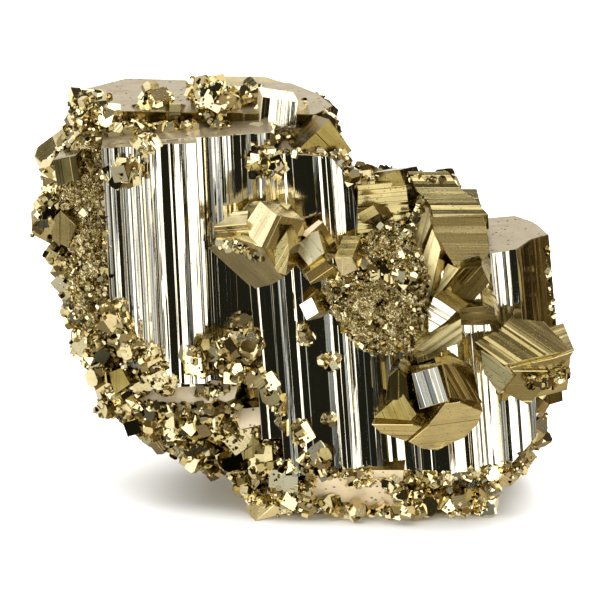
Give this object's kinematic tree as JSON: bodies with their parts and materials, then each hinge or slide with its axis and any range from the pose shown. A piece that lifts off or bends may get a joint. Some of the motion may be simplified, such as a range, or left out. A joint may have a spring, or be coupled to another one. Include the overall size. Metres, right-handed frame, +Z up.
{
  "type": "pyrite specimen",
  "caption": "Free-standing cluster of intergrown pyrite: tall growth-lined crystals, jutting cubes, a rough matrix lump and crusts of small crystals, cut flat beneath.",
  "frame": {"origin": "on the flat cut that the cluster rests on, under the middle of the cluster", "axes": "+Z up out of the resting cut; +X along the specimen's length towards its lower end; -Y towards the side with the large striped faces"},
  "size_m": [0.09, 0.0583, 0.0758],
  "materials": {
    "pyrite": "brassy metallic lustre; tall faces mirror-like with fine parallel growth lines, top faces pale and lightly pitted, crusts of small crystals coarser and darker"
  },
  "bodies": {
    "root": {"pyrite_cluster": "pyrite"}
  },
  "joints": []
}
